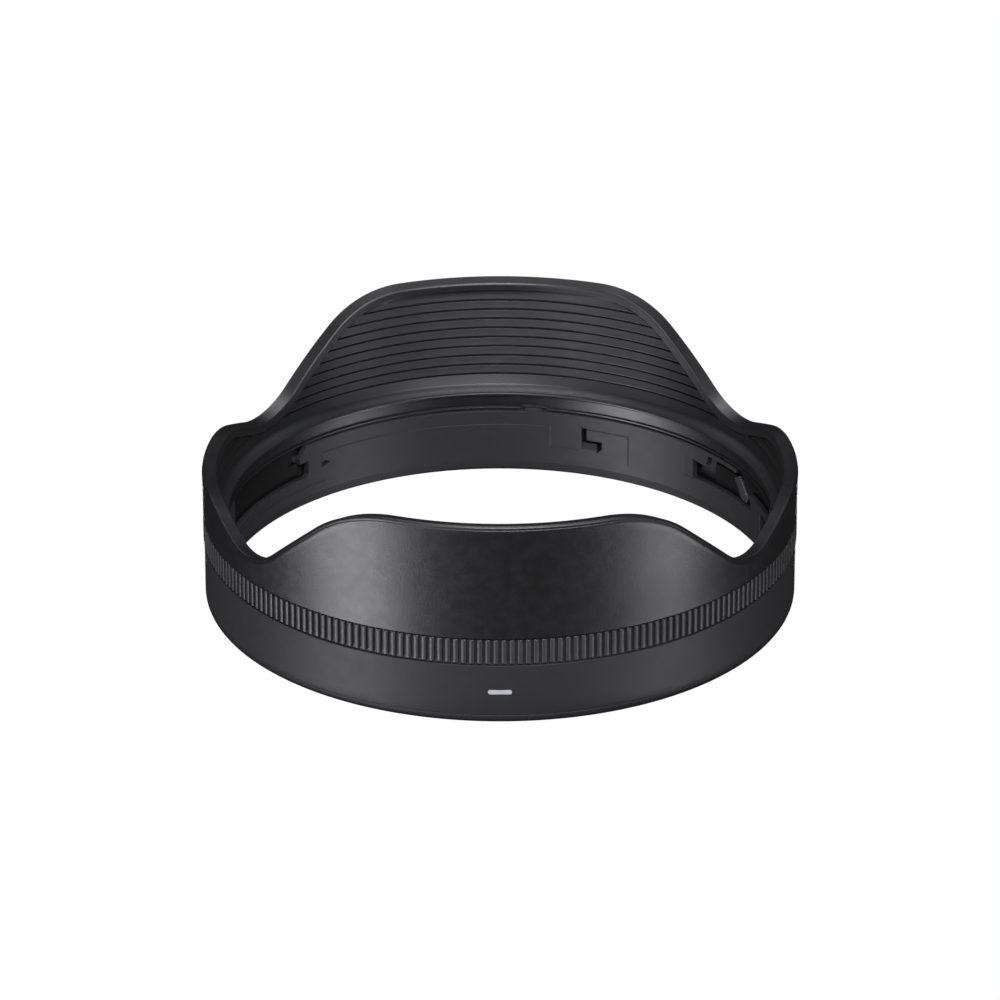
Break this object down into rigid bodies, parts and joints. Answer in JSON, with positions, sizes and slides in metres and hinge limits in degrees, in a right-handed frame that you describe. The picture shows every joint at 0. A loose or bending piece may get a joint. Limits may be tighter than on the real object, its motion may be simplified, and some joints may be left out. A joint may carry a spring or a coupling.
{
  "type": "petal lens hood",
  "caption": "Push-on petal lens hood: ribbed petals, knurled grip sleeve, and an inner bayonet ring with a sprung turning lock.",
  "frame": {"origin": "centre of the lens-side face, on the optical axis", "axes": "+Z along the optical axis towards the subject, -Y towards the index mark"},
  "size_m": [0.0792, 0.0798, 0.0282],
  "materials": {
    "petal_plastic": "fine matte grain",
    "sleeve_plastic": "satin",
    "mark_paint": "flat pale grey paint",
    "mount_plastic": "smooth satin",
    "lock_plastic": "smooth satin",
    "claw_plastic": "polished slide faces",
    "spring_steel": "drawn wire"
  },
  "bodies": {
    "hood": {"petal_body": "petal_plastic", "grip_sleeve": "sleeve_plastic", "index_mark": "mark_paint", "mount_ring": "mount_plastic", "return_spring_right": "spring_steel", "return_spring_left": "spring_steel"},
    "lock": {"lock_ring": "lock_plastic", "latch_claw_right": "claw_plastic", "latch_claw_left": "claw_plastic"}
  },
  "joints": [
    {"name": "lock_turn", "type": "hinge", "parent": "hood", "child": "lock", "pos_m": [0, 0, 0.0052], "axis": [0, 0, -1], "range_deg": [0, 2.5], "stiffness_Nm_per_rad": 0.05, "deforming": ["return_spring_right", "return_spring_left"]}
  ]
}
